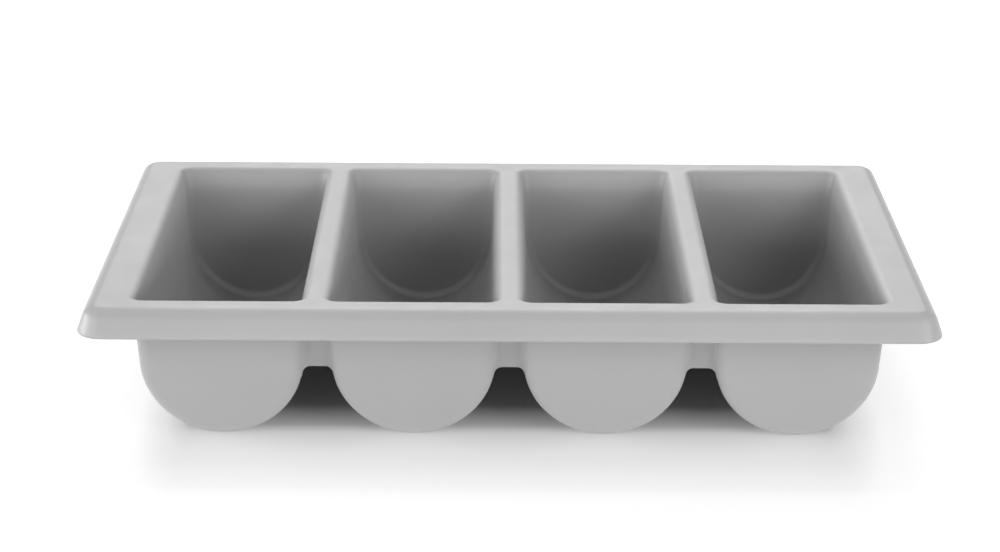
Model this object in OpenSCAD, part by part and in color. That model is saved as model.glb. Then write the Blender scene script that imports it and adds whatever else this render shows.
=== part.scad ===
// Cutlery box in the Gastronorm 1/1 size: four round-bottomed wells under one overhanging rim.
// X runs along the row of wells, Y from front to back, Z up. The origin is on the table, under the centre.
// The box is a single moulding. Its regions are separate nodes that meet face to face.

/* [Overall] */
// outer length of the rim along the row of wells
rim_length = 530; // [480:1:580]
// outer width of the rim from front to back
rim_width = 325; // [295:1:355]
// height from the table to the top of the rim
height = 95; // [88:1:110]
// thickness of the plastic
wall = 2.8; // [2:0.1:3.2]

/* [Rim] */
// height of the turned-down skirt
skirt_height = 17.5; // [14:0.5:18.5]
// lean of the skirt away from the upright, in degrees
skirt_lean = 25; // [10:1:28]
// outer radius of the shoulder between the rim's top and its skirt
shoulder_radius = 5; // [4:0.5:5.5]
// plan radius of the rim's corners at the skirt's lower edge
corner_radius = 14; // [13.5:0.5:22]
// radius of the lip that rolls from the rim's top into a mouth
lip_radius = 4.4; // [3.6:0.2:5]
// from the rim's outer edge to the outermost mouths
rim_side = 34.8; // [30:0.1:45]
// from the rim's outer edge to the mouths at the front and back
rim_end = 26; // [23:0.5:40]
// width of the dividers, from mouth to mouth
divider_width = 19.2; // [16:0.1:30]

/* [Wells] */
// draft of a well's side walls, in degrees
side_draft = 3; // [1:0.5:4]
// lean of the end walls, in degrees
end_draft = 8; // [3:0.5:10]
// inside fillet between an end wall and the trough
end_fillet = 4.5; // [3:0.5:8]
// depth of the flatter collar at the head of an end wall, from the rim's top
collar_depth = 13; // [10:0.5:15]
// how far the collar steps back from the end wall
collar_setback = 3; // [2:0.5:4]

/* [Webs] */
// height of a web's lower edge above the table
web_bottom = 44.5; // [40:0.5:50]
// radius at the upper corners of the arch under a web
web_corner = 4; // [2:0.5:5]
// how far those corners bite into the wells' sides
web_bite = 0.3; // [0.2:0.1:0.5]

/* [Hidden] */
$fn = 96;
eps = 0.01;
far = 400;
// how far a cutting shape runs past what it cuts
spare = 1;
wells = 4;
corner_steps = 32;
plastic = [0.74, 0.74, 0.735];

// heights of the rim and its collars
deck_under = height - wall;
lip_base = height - lip_radius;
collar_base = height - collar_depth;
skirt_foot = height - skirt_height;

// lengths that pieces share are kept to a hundredth, so that their faces meet
function hundredth(v) = round(100 * v) / 100;

// mouths, at the foot of their lips
well_pitch = hundredth((rim_length - 2 * rim_side + divider_width) / wells);
mouth_x = (well_pitch - divider_width) / 2;
mouth_y = rim_width / 2 - rim_end;
straight_y = mouth_y - end_fillet;
function well_x(i) = (i - (wells - 1) / 2) * well_pitch;
function bar_x(i) = well_x(i) + well_pitch / 2;

// A well's outline is drawn in the plane of its leaning end walls, from its lowest point up.
// The rolled end fillets touch the table, and the trough between them clears it by a hair.
lean = cos(end_draft);
outer_fillet = end_fillet + wall;
trough_lift = outer_fillet * (1 - lean);
function rise(z) = (z - trough_lift) / lean;

// The round bottom's inside radius lets the drafted sides end at the mouth.
side_drop = (rise(lip_base) - wall) * sin(side_draft);
bottom_radius = hundredth((mouth_x * cos(side_draft) - side_drop) / (1 - sin(side_draft)));
outer_radius = bottom_radius + wall;
// radius of an end wall's flat, inside its fillet
core_radius = bottom_radius - end_fillet;
function half_width(r, s) = (r + (s - outer_radius) * sin(side_draft)) / cos(side_draft);

// y of the plane where the end fillets start, at a height
inner_end = mouth_y - collar_setback;
fillet_start = inner_end - end_fillet / lean;
function start_y(z) = fillet_start + (z - collar_base) * tan(end_draft);

// the skirt's section: u runs inwards from its lower outer edge
slope_rise = skirt_height - shoulder_radius * (1 - sin(skirt_lean));
shoulder_u = slope_rise * tan(skirt_lean) + shoulder_radius * cos(skirt_lean);

// stands a drawing of (x, z) upright and extrudes it from y0 to y1
module along_y(y0, y1) {
    translate([0, y1, 0])
        rotate([90, 0, 0])
            linear_extrude(y1 - y0)
                children();
}

// extrudes a drawing of (y, z) from x0 to x1
module along_x(x0, x1) {
    translate([x0, 0, 0])
        rotate([90, 0, 90])
            linear_extrude(x1 - x0)
                children();
}

module rounded_rectangle(size_x, size_y, r) {
    square([size_x - 2 * r, size_y], center = true);
    square([size_x, size_y - 2 * r], center = true);
    for (sx = [-1, 1], sy = [-1, 1])
        translate([sx * (size_x / 2 - r), sy * (size_y / 2 - r)])
            circle(r);
}

// section of the skirt and its shoulder, in (u, z): a slab and a bend, turned by the lean and trimmed
module skirt_section() {
    intersection() {
        translate([shoulder_u, height - shoulder_radius])
            rotate(-skirt_lean) {
                translate([-shoulder_radius, -2 * skirt_height])
                    square([wall, 2 * skirt_height]);
                intersection() {
                    difference() {
                        circle(shoulder_radius);
                        circle(shoulder_radius - wall);
                    }
                    translate([-shoulder_radius, 0])
                        square(shoulder_radius);
                }
            }
        translate([-spare, skirt_foot])
            square([shoulder_u + spare, skirt_height + spare]);
    }
}

module skirt_side(run, reach) {
    translate([0, -reach, 0])
        along_x(-run / 2, run / 2)
            skirt_section();
}

module skirt_corner() {
    rotate_extrude(angle = 90)
        translate([corner_radius, 0])
            mirror([1, 0])
                skirt_section();
}

// the turned-down edge: four straight runs and four swept corners
module rim_skirt() {
    run_x = rim_length - 2 * corner_radius;
    run_y = rim_width - 2 * corner_radius;
    color(plastic)
        for (turn = [0, 180])
            rotate([0, 0, turn]) {
                skirt_side(run_x, rim_width / 2);
                rotate([0, 0, 90])
                    skirt_side(run_y, rim_length / 2);
                translate([run_x / 2, run_y / 2, 0])
                    skirt_corner();
                translate([-run_x / 2, run_y / 2, 0])
                    rotate([0, 0, 90])
                        skirt_corner();
            }
}

// section of a lip: a quarter ring from the foot of the mouth to the flat top
module lip_section() {
    intersection() {
        translate([lip_radius, lip_base])
            difference() {
                circle(lip_radius);
                circle(lip_radius - wall);
            }
        translate([0, lip_base])
            square(lip_radius);
    }
}

// lips round one end of a mouth: the end and its two corners
module end_lips() {
    run_x = mouth_x - end_fillet;
    along_x(-run_x, run_x)
        translate([mouth_y, 0])
            lip_section();
    for (turn = [0, 90])
        translate([(turn == 0 ? 1 : -1) * run_x, straight_y, 0])
            rotate([0, 0, turn])
                rotate_extrude(angle = 90)
                    translate([end_fillet, 0])
                        lip_section();
}

// the flat top round the mouths, without the bars between them
module rim_deck() {
    edge_x = mouth_x + lip_radius;
    edge_y = mouth_y + lip_radius;
    color(plastic) {
        translate([0, 0, deck_under])
            linear_extrude(wall)
                difference() {
                    rounded_rectangle(
                        rim_length - 2 * shoulder_u,
                        rim_width - 2 * shoulder_u,
                        corner_radius - shoulder_u
                    );
                    for (i = [0 : wells - 1])
                        translate([well_x(i), 0])
                            rounded_rectangle(2 * edge_x, 2 * edge_y, end_fillet + lip_radius);
                    for (i = [0 : wells - 2])
                        translate([bar_x(i), 0])
                            square([well_pitch - 2 * mouth_x, 2 * straight_y], center = true);
                }
        for (i = [0 : wells - 1], turn = [0, 180])
            translate([well_x(i), 0, 0])
                rotate([0, 0, turn])
                    end_lips();
        for (turn = [0, 180])
            rotate([0, 0, turn])
                along_y(-straight_y, straight_y)
                    translate([well_x(wells - 1) + mouth_x, 0])
                        lip_section();
    }
}

// the bar between wells i and i + 1: a flat strip with a lip on each side
module divider(i) {
    strip = well_pitch - 2 * (mouth_x + lip_radius);
    color(plastic)
        translate([bar_x(i), 0, 0])
            along_y(-straight_y, straight_y) {
                translate([-strip / 2, deck_under])
                    square([strip, wall]);
                for (side = [0, 1])
                    mirror([side, 0])
                        translate([-strip / 2 - lip_radius, 0])
                            lip_section();
            }
}

// a block with drafted sides and sloped ends, between the collar's foot and the lip
module collar_block(r, grow, over) {
    fillet = end_fillet + grow;
    hull() {
        translate([0, 0, collar_base - over])
            linear_extrude(eps + over)
                rounded_rectangle(
                    2 * half_width(r, rise(collar_base)),
                    2 * (inner_end + grow / lean),
                    fillet,
                    $fn = corner_steps
                );
        translate([0, 0, lip_base - eps])
            linear_extrude(eps + over)
                rounded_rectangle(
                    2 * half_width(r, rise(lip_base)),
                    2 * (mouth_y + grow),
                    fillet,
                    $fn = corner_steps
                );
    }
}

// the flatter band under a mouth's lip
module collar(i) {
    color(plastic)
        translate([well_x(i), 0, 0])
            difference() {
                collar_block(outer_radius, wall, 0);
                collar_block(bottom_radius, 0, eps);
            }
}

// right half of a well's wall across its length, between two radii: a drafted side and a round bottom
module half_outline(r0, r1) {
    intersection() {
        translate([0, outer_radius])
            rotate(-side_draft) {
                translate([r0, 0])
                    square([r1 - r0, 2 * outer_radius]);
                intersection() {
                    difference() {
                        circle(r1);
                        circle(r0);
                    }
                    translate([0, -far])
                        square(far);
                }
            }
        translate([0, -spare])
            square(far);
    }
}

// both halves, seen along the trough, whose end planes lean
module trough_outline(r0, r1) {
    translate([0, trough_lift])
        scale([1, lean]) {
            half_outline(r0, r1);
            mirror([1, 0])
                half_outline(r0, r1);
        }
}

module trough(i) {
    color(plastic)
        translate([well_x(i), 0, 0])
            intersection() {
                along_y(-far / 2, far / 2)
                    trough_outline(bottom_radius, outer_radius);
                along_x(-well_pitch, well_pitch)
                    polygon([
                        [-start_y(-spare), -spare],
                        [start_y(-spare), -spare],
                        [start_y(collar_base), collar_base],
                        [-start_y(collar_base), collar_base]
                    ]);
            }
}

// section of an end wall and its fillet: distance from the well's axis, distance past the fillet's start
module end_section(inner) {
    difference() {
        union() {
            translate([inner, 0])
                square([core_radius - inner, outer_fillet]);
            translate([core_radius, 0])
                intersection() {
                    circle(outer_fillet);
                    square(outer_fillet);
                }
        }
        translate([inner - spare, -spare])
            square([core_radius - inner + spare, end_fillet + spare]);
        translate([core_radius, 0])
            circle(end_fillet);
    }
}

// right half of an end wall: up along the drafted side, and round the bottom to the middle
module half_end() {
    intersection() {
        translate([0, 0, outer_radius])
            rotate([0, side_draft, 0]) {
                linear_extrude(2 * outer_radius)
                    end_section(-core_radius / 2);
                rotate([-90, 0, 0])
                    rotate_extrude(angle = 90)
                        end_section(0);
            }
        translate([0, -spare, -spare])
            cube(far);
    }
}

// the whole end wall leans back and stops at the foot of the collar
module end_wall(i, turn) {
    color(plastic)
        translate([well_x(i), 0, 0])
            rotate([0, 0, turn])
                intersection() {
                    translate([0, start_y(trough_lift), trough_lift])
                        rotate([-end_draft, 0, 0]) {
                            half_end();
                            mirror([1, 0, 0])
                                half_end();
                        }
                    translate([-well_pitch, 0, -spare])
                        cube([2 * well_pitch, far, collar_base + spare]);
                }
}

// outline of a web: the gap between two wells, with an arch under it
module web_outline() {
    foot = web_bottom - web_corner;
    axis_z = trough_lift + outer_radius * lean;
    clear_x = sqrt(pow(outer_radius + web_corner, 2) - pow(axis_z - foot, 2));
    corner_x = well_pitch / 2 - clear_x + web_bite;
    base_x = well_pitch / 2 - bottom_radius;
    difference() {
        translate([-base_x, foot])
            square([2 * base_x, deck_under - foot]);
        translate([-corner_x, foot - spare])
            square([2 * corner_x, web_corner + spare]);
        for (side = [-1, 1]) {
            translate([side * corner_x, foot])
                circle(web_corner);
            translate([side * well_pitch / 2, 0])
                trough_outline(core_radius, outer_radius);
        }
    }
}

// the web between wells i and i + 1, set back to where the end fillets start
module web(i, turn) {
    color(plastic)
        translate([bar_x(i), 0, 0])
            rotate([0, 0, turn])
                intersection() {
                    along_y(0, far / 2)
                        web_outline();
                    along_x(-well_pitch, well_pitch)
                        polygon([
                            [start_y(0) - wall, 0],
                            [start_y(0), 0],
                            [start_y(deck_under), deck_under],
                            [start_y(deck_under) - wall, deck_under]
                        ]);
                }
}

rim_skirt();
rim_deck();
for (i = [0 : wells - 2]) {
    divider(i);
    web(i, 180);
    web(i, 0);
}
for (i = [0 : wells - 1]) {
    collar(i);
    trough(i);
    end_wall(i, 180);
    end_wall(i, 0);
}
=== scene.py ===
# %% [markdown]
# A cutlery box is one plastic moulding: four long round-bottomed wells hang side by side under a
# flat rim, and the rim's outer edge turns down into a short leaning skirt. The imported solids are
# loaded first, because they fix where everything sits. Every skin below is built in the same
# frame, so nothing has to be fitted by eye.

# %% Load the frame
import math
import bmesh
import bpy
from mathutils import Matrix, Vector


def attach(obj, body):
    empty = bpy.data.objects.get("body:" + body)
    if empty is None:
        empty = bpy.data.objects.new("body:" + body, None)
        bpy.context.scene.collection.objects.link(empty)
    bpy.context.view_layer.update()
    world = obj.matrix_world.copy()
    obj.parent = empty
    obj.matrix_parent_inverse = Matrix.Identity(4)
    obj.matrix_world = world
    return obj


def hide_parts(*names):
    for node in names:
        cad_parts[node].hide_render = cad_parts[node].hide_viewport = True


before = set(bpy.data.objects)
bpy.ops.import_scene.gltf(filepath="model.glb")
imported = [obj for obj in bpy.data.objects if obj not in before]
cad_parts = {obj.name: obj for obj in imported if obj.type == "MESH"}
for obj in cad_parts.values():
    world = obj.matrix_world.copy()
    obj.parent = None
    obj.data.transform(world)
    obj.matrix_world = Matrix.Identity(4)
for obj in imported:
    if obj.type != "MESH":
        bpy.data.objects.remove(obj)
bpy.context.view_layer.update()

# %% [markdown]
# The camera stands about 1.8 m away, in front of the box and a little above it, with a long lens
# that keeps the wells nearly parallel. A camera could be aimed with a Track To constraint. Here
# its three axes are written straight into its matrix, because the small roll of a hand-held shot
# is then one more number. Its angles are in radians.

# %% Camera
MM = 0.001
IMAGE_WIDTH, SENSOR_WIDTH, FOCAL_PIXELS = 1000, 36, 2637.1

camera_place = Vector((-8.7, -1658.8, 647.7)) * MM
camera_yaw, camera_pitch, camera_roll = 0.0016, 0.3389, 0.0063

forward = Vector((math.sin(camera_yaw) * math.cos(camera_pitch),
                  math.cos(camera_yaw) * math.cos(camera_pitch),
                  -math.sin(camera_pitch)))
level = Vector((math.cos(camera_yaw), -math.sin(camera_yaw), 0))
above = level.cross(forward)
right = math.cos(camera_roll) * level + math.sin(camera_roll) * above
upward = math.cos(camera_roll) * above - math.sin(camera_roll) * level

camera_data = bpy.data.cameras.new("camera")
camera_data.sensor_width = SENSOR_WIDTH
camera_data.lens = FOCAL_PIXELS * SENSOR_WIDTH / IMAGE_WIDTH
camera = bpy.data.objects.new("camera", camera_data)
camera.matrix_world = Matrix((
    (right.x, upward.x, -forward.x, camera_place.x),
    (right.y, upward.y, -forward.y, camera_place.y),
    (right.z, upward.z, -forward.z, camera_place.z),
    (0, 0, 0, 1)))
bpy.context.collection.objects.link(camera)
bpy.context.scene.camera = camera
print("lens:", round(camera_data.lens, 1), "mm")

# %% [markdown]
# The plastic is a light neutral grey with a satin skin, as it leaves a lightly textured mould. A
# plain colour would look like paint, so three noises do the work: a very fine grain in the bump,
# long faint flow streaks in the roughness, and a slow drift in the grey itself. The diffuse part
# is rough too, which keeps rounded edges nearly as bright as the flats beside them in low light.

# %% Satin plastic
GREYS, ROUGHNESS, NOISE_SPAN = (0.515, 0.545), (0.3, 0.38), (0.3, 0.7)
DRIFT_SCALE, STREAK_STRETCH, GRAIN_SCALE = 9, (70, 70, 8), 1500
GRAIN_STRENGTH, GRAIN_DEPTH = 0.12, 0.1 * MM


def noise(nodes, links, place, scale, detail):
    cloud = nodes.new("ShaderNodeTexNoise")
    cloud.inputs["Scale"].default_value = scale
    cloud.inputs["Detail"].default_value = detail
    links.new(place, cloud.inputs["Vector"])
    return cloud.outputs["Fac"]


def satin_plastic():
    material = bpy.data.materials.new("satin_grey_plastic")
    material.use_nodes = True
    nodes, links = material.node_tree.nodes, material.node_tree.links
    shader = nodes["Principled BSDF"]
    shader.inputs["IOR"].default_value = 1.49
    shader.inputs["Diffuse Roughness"].default_value = 1
    shader.inputs["Specular IOR Level"].default_value = 0.5
    place = nodes.new("ShaderNodeTexCoord").outputs["Object"]

    grey = nodes.new("ShaderNodeValToRGB")
    for element, position, level in zip(grey.color_ramp.elements, NOISE_SPAN, GREYS):
        element.position, element.color = position, (level, level, level, 1)
    links.new(noise(nodes, links, place, DRIFT_SCALE, 3), grey.inputs["Fac"])
    links.new(grey.outputs["Color"], shader.inputs["Base Color"])

    stretch = nodes.new("ShaderNodeMapping")
    stretch.inputs["Scale"].default_value = STREAK_STRETCH
    links.new(place, stretch.inputs["Vector"])
    gloss = nodes.new("ShaderNodeMapRange")
    gloss.inputs["From Min"].default_value, gloss.inputs["From Max"].default_value = NOISE_SPAN
    gloss.inputs["To Min"].default_value, gloss.inputs["To Max"].default_value = ROUGHNESS
    links.new(noise(nodes, links, stretch.outputs["Vector"], 1, 4), gloss.inputs["Value"])
    links.new(gloss.outputs["Result"], shader.inputs["Roughness"])

    bump = nodes.new("ShaderNodeBump")
    bump.inputs["Strength"].default_value = GRAIN_STRENGTH
    bump.inputs["Distance"].default_value = GRAIN_DEPTH
    links.new(noise(nodes, links, place, GRAIN_SCALE, 2), bump.inputs["Height"])
    links.new(bump.outputs["Normal"], shader.inputs["Normal"])
    return material


plastic = satin_plastic()
print("material:", plastic.name, len(plastic.node_tree.nodes), "nodes")

# %% [markdown]
# Every skin here is a patchwork of grids: rows of points with a face between each four. The
# helper joins the grids of one piece where their edges meet, turns all faces outwards, and
# shades them smooth except across true corners. Blender's Bevel tool could round the edges of a
# blockier mesh, but grids put each rounding exactly where the moulding has it.

# %% Joining grids into a skin
WELD, SHARP_ANGLE = 0.002 * MM, math.radians(38)


def skin_from_grids(grids):
    bm = bmesh.new()
    for rows in grids:
        made = [[bm.verts.new(Vector(point) * MM) for point in row] for row in rows]
        for one, two in zip(made, made[1:]):
            for k in range(len(one) - 1):
                bm.faces.new((one[k], one[k + 1], two[k + 1], two[k]))
    bmesh.ops.remove_doubles(bm, verts=bm.verts, dist=WELD)
    return bm


def finish_skin(bm, name, replaced):
    bmesh.ops.recalc_face_normals(bm, faces=bm.faces)
    open_edges = sum(1 for edge in bm.edges if len(edge.link_faces) != 2)
    mesh = bpy.data.meshes.new(name)
    bm.to_mesh(mesh)
    bm.free()
    mesh.polygons.foreach_set("use_smooth", [True] * len(mesh.polygons))
    mesh.set_sharp_from_angle(angle=SHARP_ANGLE)
    mesh.materials.append(plastic)
    piece = bpy.data.objects.new(name, mesh)
    bpy.context.collection.objects.link(piece)
    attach(piece, "root")
    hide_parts(*replaced)
    print(name, len(mesh.polygons), "faces,", open_edges, "open edges")


print("points join within", WELD / MM, "mm")

# %% [markdown]
# The sizes are those of the moulding: a Gastronorm 1/1 rim, 530 by 325 mm, 95 mm above the
# table, in plastic 2.8 mm thick. The wells repeat at one pitch along X, so a well's place is
# worked out from its number and not written four times.

# %% Sizes of the moulding, in millimetres
RIM_LENGTH, RIM_WIDTH, HEIGHT, WALL = 530, 325, 95, 2.8
UNDER = HEIGHT - WALL
WELLS, PITCH = 4, 119.9


def well_x(i):
    return (i - (WELLS - 1) / 2) * PITCH


print("well centres:", [round(well_x(i), 1) for i in range(WELLS)])

# %% [markdown]
# A well's section is a round bottom with almost upright sides, three degrees of draft, so that
# it slips off the mould. Its end walls lean back by eight degrees, and a fillet rolls from each
# end wall into the trough all the way round the U. The section is drawn in the leaning plane of
# the end wall, where the fillet is a plain quarter circle.

# %% The well's outline
DRAFT, LEAN = math.radians(3), math.radians(8)
INNER_RADIUS, END_FILLET = 48.16, 6
OUTER_RADIUS, OUTER_FILLET = INNER_RADIUS + WALL, 7.3
COLLAR_BASE, INNER_END = 78.5, 133.008
LIFT = OUTER_FILLET * (1 - math.cos(LEAN))
FILLET_START = INNER_END - (OUTER_FILLET - WALL) / math.cos(LEAN)
SIDE_STEPS, ROUND_STEPS, LENGTH_STEPS, FILLET_STEPS, END_STEPS = 8, 56, 28, 10, 16


def start_y(z):
    """How far out the trough ends and the outer fillet begins, at height z."""
    return FILLET_START + (z - COLLAR_BASE) * math.tan(LEAN)


def rise(z):
    """Height z, measured up along the leaning plane."""
    return (z - LIFT) / math.cos(LEAN)


def half_width(radius, s):
    """Half the width between the drafted sides, s up the leaning plane."""
    return (radius + (s - OUTER_RADIUS) * math.sin(DRAFT)) / math.cos(DRAFT)


def leaning(x, depth, s, side):
    """The point that lies s up the leaning plane and depth out from it."""
    y = start_y(LIFT) + depth * math.cos(LEAN) + s * math.sin(LEAN)
    return (x, side * y, LIFT + s * math.cos(LEAN) - depth * math.sin(LEAN))


def outline(radius, depth):
    """The U of a well: down one side, round the bottom and up the other side."""
    top = rise(COLLAR_BASE) + depth * math.tan(LEAN)
    tangent = OUTER_RADIUS - radius * math.sin(DRAFT)
    down = [top + (tangent - top) * k / SIDE_STEPS for k in range(SIDE_STEPS)]
    sweep = math.pi / 2 - DRAFT
    turn = [sweep * (1 - 2 * k / ROUND_STEPS) for k in range(ROUND_STEPS + 1)]
    half = [(half_width(radius, s), s) for s in down]
    bottom = [(radius * math.sin(a), OUTER_RADIUS - radius * math.cos(a)) for a in turn]
    return half + bottom + [(-x, s) for x, s in reversed(half)]


print("outline points:", len(outline(INNER_RADIUS, 0)))

# %% [markdown]
# One side of a well, inside or outside, is five grids: the long trough, a rolled fillet at each
# end, and the flat of each end wall. A flat could be one many-sided face. Here it runs in rows
# from one side of the U to the other, so its edges are the fillet's own points.

# %% Grids below the collar
def fillet_rows(radius, fillet, side):
    rows, flat = [], OUTER_FILLET - OUTER_RADIUS + radius
    for j in range(FILLET_STEPS + 1):
        angle = math.pi / 2 * j / FILLET_STEPS
        depth = flat - fillet * (1 - math.sin(angle))
        section = outline(radius - fillet * (1 - math.cos(angle)), depth)
        rows.append([leaning(x, depth, s, side) for x, s in section])
    return rows


def between(a, b, steps):
    return [tuple(p + (q - p) * k / steps for p, q in zip(a, b)) for k in range(steps + 1)]


def trough_grids(radius, fillet):
    front, back = fillet_rows(radius, fillet, -1), fillet_rows(radius, fillet, 1)
    trough = [between(a, b, LENGTH_STEPS) for a, b in zip(front[0], back[0])]
    flats = []
    for rows in (front, back):
        border = rows[-1]
        half = range(len(border) // 2 + 1)
        flats.append([between(border[t], border[-1 - t], END_STEPS) for t in half])
    return [trough, front, back] + flats


print("grids below the collar:", len(trough_grids(INNER_RADIUS, END_FILLET)))

# %% [markdown]
# Near the top a well is a stack of closed rings. Each ring is a round-cornered oblong with the
# same count of points as the trough's upper edge, so the stack closes onto it without a seam. A
# Mirror modifier could repeat a quarter of the mesh. Here a quarter of each ring is drawn and its
# points are mirrored, which keeps the four corners alike and the rings whole.

# %% A closed ring
def ring_from_quarter(quarter):
    """Mirrors the back right quarter, from the side to the end, into a closed ring."""
    back_left = [(-x, y, z) for x, y, z in reversed(quarter)]
    front_left = [(-x, -y, z) for x, y, z in quarter]
    front_right = [(x, -y, z) for x, y, z in reversed(quarter)]
    points = between(front_right[-1], quarter[0], LENGTH_STEPS)[:-1] + quarter[:-1]
    points += between(quarter[-1], back_left[0], END_STEPS)[:-1] + back_left[:-1]
    points += between(back_left[-1], front_left[0], LENGTH_STEPS)[:-1] + front_left[:-1]
    points += between(front_left[-1], front_right[0], END_STEPS)[:-1] + front_right
    return points


def ring(half_x, half_y, corner, z_side, z_end):
    """A round-cornered oblong, with its sides at one height and its ends at another."""
    corner_x = corner / math.cos(DRAFT)
    straight = half_y - corner
    quarter = []
    for j in range(FILLET_STEPS + 1):
        angle = math.pi / 2 * j / FILLET_STEPS
        share = math.sin(angle) ** 2
        quarter.append((half_x - corner_x * (1 - math.cos(angle)),
                        straight + corner * math.sin(angle),
                        z_side * (1 - share) + z_end * share))
    return ring_from_quarter(quarter)


print("points in a ring:", len(ring(INNER_RADIUS, INNER_END, END_FILLET, HEIGHT, HEIGHT)))

# %% [markdown]
# The mouth flares out: a flatter collar at each end, a slighter one along the sides, then a lip
# that rolls over into the flat top. A plain kink would catch the light as a hard line. So the
# wall bends softly into the collar, by a curve that starts level and ends as a slope.

# %% Rings of the mouth
SIDE_LIP, END_LIP, LIP_STEPS, SEAM = 6, 5, 10, 0.4
MOUTH_CORNER = END_FILLET + SIDE_LIP
KINK, KINK_SOFTNESS, COLLAR_SLOPE, SIDE_SLOPE = 83, 1.3, math.radians(15), math.radians(9)
BAND_HEIGHTS = [88.4, 87.4] + [86.4 - 0.8 * k for k in range(10)]


def softly(t):
    return KINK_SOFTNESS * math.log(1 + math.exp(t / KINK_SOFTNESS))


def flare(z):
    """The height above the soft bend: nothing at the collar's base, then a smooth start."""
    return softly(z - KINK) - softly(COLLAR_BASE - KINK)


def end_y(z, outside):
    wall_y = INNER_END + (z - COLLAR_BASE) * math.tan(LEAN)
    thick = WALL / math.cos(LEAN) if outside else 0
    return wall_y + thick + (math.tan(COLLAR_SLOPE) - math.tan(LEAN)) * flare(z)


def side_x(radius, z):
    return half_width(radius, rise(z)) + (math.tan(SIDE_SLOPE) - math.tan(DRAFT)) * flare(z)


LIP_X = side_x(INNER_RADIUS, HEIGHT - SIDE_LIP) + SIDE_LIP / math.cos(SIDE_SLOPE)
LIP_Y = end_y(HEIGHT - END_LIP, False) + END_LIP / math.cos(COLLAR_SLOPE)


def mouth_edge(z):
    """The line where a lip ends and the flat of the rim begins."""
    return ring(LIP_X + SEAM, LIP_Y + SEAM, MOUTH_CORNER + SEAM, z, z)


def mouth_rings(radius, fillet, outside):
    side_roll, end_roll = (SIDE_LIP - WALL, END_LIP - WALL) if outside else (SIDE_LIP, END_LIP)
    rings = [mouth_edge(HEIGHT - SIDE_LIP + side_roll)]
    for k in range(LIP_STEPS + 1):
        side_turn = (math.pi / 2 - SIDE_SLOPE) * k / LIP_STEPS
        end_turn = (math.pi / 2 - COLLAR_SLOPE) * k / LIP_STEPS
        rings.append(ring(LIP_X - side_roll * math.sin(side_turn),
                          LIP_Y - end_roll * math.sin(end_turn),
                          fillet + (MOUTH_CORNER - fillet) * (1 - math.sin(side_turn)),
                          HEIGHT - SIDE_LIP + side_roll * math.cos(side_turn),
                          HEIGHT - END_LIP + end_roll * math.cos(end_turn)))
    for z in BAND_HEIGHTS:
        rings.append(ring(side_x(radius, z), end_y(z, outside), fillet, z, z))
    rings.append(ring_from_quarter([row[0] for row in fillet_rows(radius, fillet, 1)]))
    return rings


print("lip's upper edge:", round(LIP_X, 2), round(LIP_Y, 2))

# %% [markdown]
# A whole well is its inner skin, its outer skin and the narrow wall between them at the flat
# top, where it is joined to the rim. A Solidify modifier could thicken one skin, but the fillets
# inside and outside differ. The four wells are alike, so the grids are made once and moved
# along X.

# %% The four wells
inner_rings = mouth_rings(INNER_RADIUS, END_FILLET, False)
outer_rings = mouth_rings(OUTER_RADIUS, OUTER_FILLET, True)
well_grids = [inner_rings, outer_rings, [inner_rings[0], outer_rings[0]]]
well_grids += trough_grids(INNER_RADIUS, END_FILLET) + trough_grids(OUTER_RADIUS, OUTER_FILLET)

for i in range(WELLS):
    moved = [[[(x + well_x(i), y, z) for x, y, z in row] for row in rows] for rows in well_grids]
    number = str(i + 1)
    finish_skin(skin_from_grids(moved), "well_" + number,
                ("collar_" + number, "trough_" + number, "front_end_" + number, "back_end_" + number))

# %% [markdown]
# The rim is the flat top, a wide round shoulder and a short skirt that leans out by 20 degrees
# and ends in a round foot. A bevelled curve could carry such a section round a path. Here the
# section is a list of points, walked once over the outside, round the foot and back up the
# inside: first how far in from the widest outline, then how high.

# %% Section of the rim
SKIRT_FOOT, SKIRT_LEAN, SHOULDER, CORNER, FOOT_ROUND = 77.5, math.radians(20), 9, 16, WALL / 2
SHOULDER_Z, FOOT_Z = HEIGHT - SHOULDER, SKIRT_FOOT + FOOT_ROUND
SHOULDER_IN = FOOT_ROUND + ((SHOULDER_Z - FOOT_Z) * math.sin(SKIRT_LEAN)
                            + SHOULDER - FOOT_ROUND) / math.cos(SKIRT_LEAN)
SHOULDER_STEPS, SKIRT_STEPS, FOOT_STEPS, INSIDE_STEPS = 20, 4, 14, 14


def arc(centre, radius, start, stop, steps):
    turns = [start + (stop - start) * k / steps for k in range(steps + 1)]
    return [(centre[0] + radius * math.cos(a), centre[1] + radius * math.sin(a)) for a in turns]


def rim_section():
    bend, flat, out = (SHOULDER_IN, SHOULDER_Z), math.pi / 2, math.pi - SKIRT_LEAN
    outside = [(SHOULDER_IN + SEAM, HEIGHT)] + arc(bend, SHOULDER, flat, out, SHOULDER_STEPS)
    foot = arc((FOOT_ROUND, FOOT_Z), FOOT_ROUND, out, out + math.pi, FOOT_STEPS)
    inside = arc(bend, SHOULDER - WALL, out, flat, INSIDE_STEPS) + [(SHOULDER_IN + SEAM, UNDER)]
    return outside + between(outside[-1], foot[0], SKIRT_STEPS)[1:-1] + foot + inside


print("points in the rim's section:", len(rim_section()))

# %% [markdown]
# Each point of the section becomes a rounded rectangle round the whole rim. The mouths are then
# added as loops in the flat top and in its underside. Triangle Fill closes the flats between the
# loops, which is simpler than planning a grid round four openings, and a flat shows no mesh.

# %% Rim with its shoulder and skirt
LEVEL_SLACK = 0.001 * MM


def rectangle_ring(inset, z):
    half_x, half_y, corner = RIM_LENGTH / 2 - inset, RIM_WIDTH / 2 - inset, CORNER - inset
    quarter = arc((half_x - corner, half_y - corner), corner, 0, math.pi / 2, FILLET_STEPS)
    return ring_from_quarter([(x, y, z) for x, y in quarter])


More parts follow.
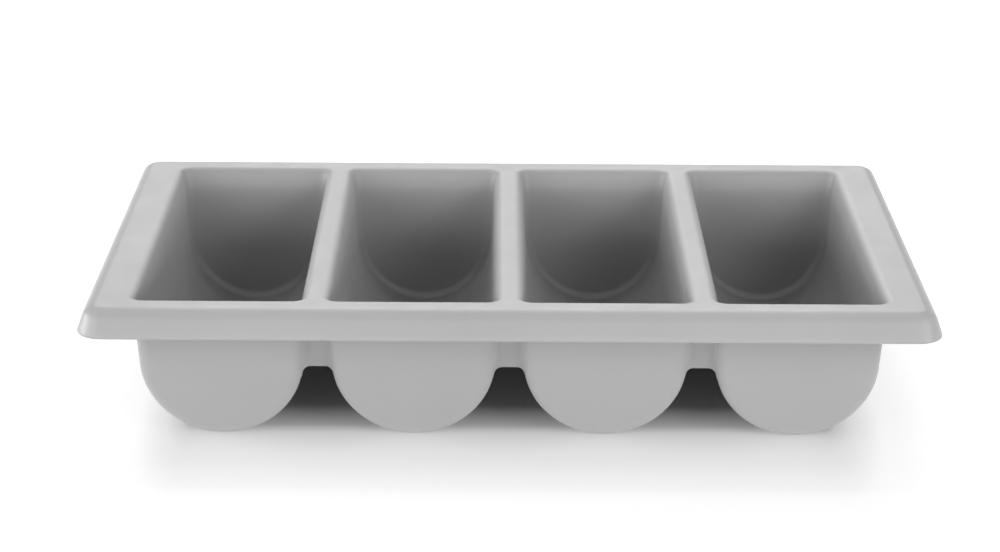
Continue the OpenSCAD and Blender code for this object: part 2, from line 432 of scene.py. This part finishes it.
def add_mouth(rim, centre):
    loops = []
    for z in (HEIGHT, UNDER):
        loop = [rim.verts.new(Vector((centre + x, y, z)) * MM) for x, y, z in mouth_edge(z)[:-1]]
        for a, b in zip(loop, loop[1:] + loop[:1]):
            rim.edges.new((a, b))
        loops.append(loop)
    upper, lower = loops
    for k in range(len(upper)):
        rim.faces.new((upper[k - 1], upper[k], lower[k], lower[k - 1]))


def fill_flat(rim, z):
    border = [edge for edge in rim.edges if len(edge.link_faces) == 1
              and all(abs(v.co.z - z * MM) < LEVEL_SLACK for v in edge.verts)]
    bmesh.ops.triangle_fill(rim, edges=border, use_beauty=True, normal=(0, 0, 1))


rim = skin_from_grids([[rectangle_ring(inset, z) for inset, z in rim_section()]])
for i in range(WELLS):
    add_mouth(rim, well_x(i))
for z in (HEIGHT, UNDER):
    fill_flat(rim, z)
finish_skin(rim, "rim", ("rim_skirt", "rim_deck", "divider_1", "divider_2", "divider_3"))

# %% [markdown]
# At the front and back a short web ties each two wells together. It stands a little behind the
# wells' rounded ends, runs into them in wide hollow fillets, and ends below in an arch. The
# fillet could be left to a bevel on the joint of two meshes. Here it is worked out in plan as one
# arc that touches the web's flat and the well's round corner, so no seam shows.

# %% The web's plan and arch
WEB_BOTTOM, WEB_CORNER, WEB_SETBACK, WEB_HOLLOW, WEB_EDGE = 44.5, 5, 4, 5, 0.7
WEB_FOOT = WEB_BOTTOM - WEB_CORNER
# the hollow touches the well's corner: BOTH is between their centres, SLANT its part along X
BOTH = OUTER_FILLET + WEB_HOLLOW
SLANT = math.sqrt(BOTH ** 2 - (WEB_HOLLOW - WEB_SETBACK) ** 2)
SUNK, SHORT, LAST_DROP = 0.03, 0.02, 0.3
WEB_ROWS, ARCH_STEPS, MIDDLE_STEPS, EDGE_STEPS = 16, 16, 6, 6


def half_gap(z):
    """Half the space between two wells, at height z."""
    s = rise(z)
    if s > OUTER_RADIUS * (1 - math.sin(DRAFT)):
        return PITCH / 2 - half_width(OUTER_RADIUS, s)
    return PITCH / 2 - math.sqrt(OUTER_RADIUS ** 2 - (OUTER_RADIUS - s) ** 2)


def web_reach(z):
    """Half the web's width: to where its fillet meets the well, and a trifle into it."""
    return half_gap(z) + OUTER_FILLET * (1 - SLANT / BOTH) + SUNK


def web_y(x, z):
    """The web's face: flat in the middle, then hollow towards the well."""
    into = max(abs(x) - (half_gap(z) + OUTER_FILLET - SLANT), 0)
    return start_y(z) - WEB_SETBACK + WEB_HOLLOW - math.sqrt(max(WEB_HOLLOW ** 2 - into ** 2, 0))


def arch_points():
    """From left to right: a rounding that ends on the well, the level middle, a rounding."""
    axis = LIFT + OUTER_RADIUS * math.cos(LEAN)
    drop = axis - WEB_FOOT
    corner_x = PITCH / 2 - math.sqrt((OUTER_RADIUS + WEB_CORNER) ** 2 - drop ** 2)
    stop = -math.atan2(drop, PITCH / 2)
    rounding = arc((corner_x, WEB_FOOT), WEB_CORNER, math.pi / 2, stop, ARCH_STEPS)
    side = [(x, z) for x, z in rounding if x < web_reach(z) - SHORT]
    last_z = side[-1][1] - LAST_DROP
    side.append((web_reach(last_z), last_z))
    middle = between((-corner_x, WEB_BOTTOM), (corner_x, WEB_BOTTOM), MIDDLE_STEPS)[1:-1]
    return [(-x, z) for x, z in reversed(side)] + middle + side


print("points along the arch:", len(arch_points()))

# %% [markdown]
# A web is a grid of columns, each from the arch up to the underside of the rim. Its front edge
# along the arch is a small round, and a rear face, caps and fans of narrow faces close the skin,
# because a closed mesh can be used anywhere. The six webs differ only in place.

# %% The six webs
def web_grids(centre, side):
    face, edge, rear = [], [], []
    turns = [math.pi / 2 * k / EDGE_STEPS for k in range(EDGE_STEPS + 1)]
    for x0, z0 in arch_points():
        share, low = x0 / web_reach(z0), z0 + WEB_EDGE
        heights = [low + (UNDER - low) * k / WEB_ROWS for k in range(WEB_ROWS + 1)]
        line = [(share * web_reach(z), z) for z in heights]
        front_line = [(x, web_y(x, z), z) for x, z in line]
        rear_line = [(x, start_y(z) - WEB_SETBACK - WALL, z) for x, z in line]
        y0, y1 = front_line[0][1], rear_line[0][1]
        rounded = [(x0, y0 - WEB_EDGE * (1 - math.cos(a)), z0 + WEB_EDGE * (1 - math.sin(a)))
                   for a in turns]
        face.append(rounded[:1] + front_line[1:])
        edge.append(rounded + [(x0, y1, z0), rear_line[0]])
        rear.append(rear_line)
    caps = [[front[-1], back[-1]] for front, back in zip(face, rear)]
    ends = [[face[k], rear[k]] for k in (0, -1)]
    fans = [[edge[k][:-1], [edge[k][-1]] * (len(edge[k]) - 1)] for k in (0, -1)]
    grids = [face, edge, rear, caps] + ends + fans
    return [[[(centre + x, side * y, z) for x, y, z in row] for row in rows] for rows in grids]


for i in range(WELLS - 1):
    for side, place in ((-1, "front"), (1, "back")):
        name = place + "_web_" + str(i + 1)
        grids = web_grids(well_x(i) + PITCH / 2, side)
        finish_skin(skin_from_grids(grids), "hollow_" + name, (name,))

# %% [markdown]
# The floor is a plain white-looking sheet that keeps the real soft shadow of the box. Lamps strong
# enough to burn it out to white would burn the box too. So the floor glows by itself, only for the
# camera and for reflections, and this glow is painted light: hardly any between the wells, then
# more and more with the distance from them, so that a painted shade round the box lies on top of
# its real shadow. The distance is measured in plan, from an oblong under the wells, and counts
# more to the left and right.

# %% Floor
# GLOW is painted light on the floor, set by distance from the wells; its low start paints shade near
# them.
GLOW = ((0, 0.006), (0.085, 0.16), (0.12, 0.38), (0.2, 0.52), (0.4, 0.73), (1, 0.85))
GLOW_REACH, SIDEWAYS, OBLONG = 0.375, 4, (0.2, 0.075, 0)
FLOOR_REACH, FLOOR_GREY = 6, 0.45


def seen_directly(nodes, links):
    ray = nodes.new("ShaderNodeLightPath")
    seen = ray.outputs["Is Camera Ray"]
    for kind in ("Is Glossy Ray", "Is Transmission Ray"):
        either = nodes.new("ShaderNodeMath")
        either.operation = "MAXIMUM"
        links.new(seen, either.inputs[0])
        links.new(ray.outputs[kind], either.inputs[1])
        seen = either.outputs["Value"]
    return seen


def vector_step(nodes, links, operation, source, operand=(0, 0, 0)):
    step = nodes.new("ShaderNodeVectorMath")
    step.operation = operation
    step.inputs[1].default_value = operand
    links.new(source, step.inputs[0])
    return step.outputs["Value" if operation == "LENGTH" else "Vector"]


def floor_glow_with_painted_shade():
    material = bpy.data.materials.new("floor_glow_with_painted_shade")
    material.use_nodes = True
    nodes, links = material.node_tree.nodes, material.node_tree.links
    shader = nodes["Principled BSDF"]
    shader.inputs["Base Color"].default_value = (FLOOR_GREY, FLOOR_GREY, FLOOR_GREY, 1)
    shader.inputs["Roughness"].default_value = 0.9

    place = nodes.new("ShaderNodeNewGeometry").outputs["Position"]
    from_middle = vector_step(nodes, links, "ABSOLUTE", place)
    past = vector_step(nodes, links, "SUBTRACT", from_middle, OBLONG)
    outside = vector_step(nodes, links, "MAXIMUM", past)
    scale = (SIDEWAYS / GLOW_REACH, 1 / GLOW_REACH, 0)
    share = vector_step(nodes, links, "MULTIPLY", outside, scale)
    distance = vector_step(nodes, links, "LENGTH", share)

    # painted light: the floor's glow, near zero by the wells, which paints shade round the box
    glow = nodes.new("ShaderNodeValToRGB")
    for position, _ in GLOW[1:-1]:
        glow.color_ramp.elements.new(position)
    for element, (position, level) in zip(glow.color_ramp.elements, GLOW):
        element.position, element.color = position, (level, level, level, 1)
    links.new(distance, glow.inputs["Fac"])
    links.new(glow.outputs["Color"], shader.inputs["Emission Color"])
    links.new(seen_directly(nodes, links), shader.inputs["Emission Strength"])
    return material


floor_corners = [(FLOOR_REACH * x, FLOOR_REACH * y, 0) for x, y in ((-1, -1), (1, -1), (1, 1), (-1, 1))]
floor_mesh = bpy.data.meshes.new("floor")
floor_mesh.from_pydata(floor_corners, [], [(0, 1, 2, 3)])
floor_mesh.materials.append(floor_glow_with_painted_shade())
floor = bpy.data.objects.new("floor", floor_mesh)
bpy.context.collection.objects.link(floor)
print("floor:", 2 * FLOOR_REACH, "m wide")

# %% [markdown]
# The box stands in a ring of large soft lamps. Most of them are low, so their light grazes the
# top, lights the fronts of the wells and reaches only the upper part of their insides. Lamps
# behind and two narrow strips overhead brighten the flat rim. Each lamp is placed by its turn
# round the box and its lift above the floor, in degrees, which is easier to judge than X, Y and Z.

# %% Lamps
LAMP_DISTANCE, LAMP_AIM = 2, Vector((0, 0, 0.06))


def soft_lamp(name, turn, lift, width, height, power):
    lamp = bpy.data.lights.new(name, "AREA")
    lamp.shape = "RECTANGLE"
    lamp.size, lamp.size_y, lamp.energy = width, height, power
    turn, lift = math.radians(turn), math.radians(lift)
    direction = Vector((math.cos(turn) * math.cos(lift),
                        math.sin(turn) * math.cos(lift),
                        math.sin(lift)))
    obj = bpy.data.objects.new(name, lamp)
    obj.location = LAMP_DISTANCE * direction
    obj.rotation_euler = (LAMP_AIM - obj.location).to_track_quat("-Z", "Y").to_euler()
    obj.visible_camera = False
    bpy.context.collection.objects.link(obj)


# name, turn, lift, width and height in metres, power in watts
soft_lamp("left", 180, 8, 1.5, 0.42, 16)
soft_lamp("left_high", 180, 24, 1.4, 0.6, 6)
soft_lamp("front_left", 225, 8, 1.5, 0.42, 8)
soft_lamp("front_left_high", 225, 24, 1.4, 0.6, 4)
soft_lamp("front", 270, 8, 1.5, 0.42, 8.9)
soft_lamp("front_right", 315, 8, 1.5, 0.42, 9.8)
soft_lamp("front_right_high", 315, 29, 1.4, 0.7, 8.6)
soft_lamp("back", 90, 24, 1.4, 0.6, 4.2)
soft_lamp("back_high", 90, 44, 1.1, 0.6, 7.8)
soft_lamp("overhead", 90, 66, 1.2, 0.1, 3.2)
soft_lamp("zenith", 90, 82, 1.2, 0.1, 1.1)
soft_lamp("left_spot", 180, 56, 0.3, 0.3, 0.6)
print("lamps:", len(bpy.data.lights))

# %% [markdown]
# The sky is white where it is looked at and gives almost no light. One white backdrop could do
# both, but it would flood the insides of the wells, whose depth shows by their shade.

# %% Sky
SKY_LIGHT = 0.02

world = bpy.data.worlds.new("sky")
world.use_nodes = True
nodes, links = world.node_tree.nodes, world.node_tree.links
dim = nodes["Background"]
dim.inputs["Color"].default_value = (1, 1, 1, 1)
dim.inputs["Strength"].default_value = SKY_LIGHT
white = nodes.new("ShaderNodeBackground")
white.inputs["Color"].default_value = (1, 1, 1, 1)
white.inputs["Strength"].default_value = 1
pick = nodes.new("ShaderNodeMixShader")
links.new(seen_directly(nodes, links), pick.inputs["Fac"])
links.new(dim.outputs["Background"], pick.inputs[1])
links.new(white.outputs["Background"], pick.inputs[2])
links.new(pick.outputs["Shader"], nodes["World Output"].inputs["Surface"])
bpy.context.scene.world = world
bpy.context.scene.view_settings.view_transform = "Standard"
print("sky's own light:", SKY_LIGHT)
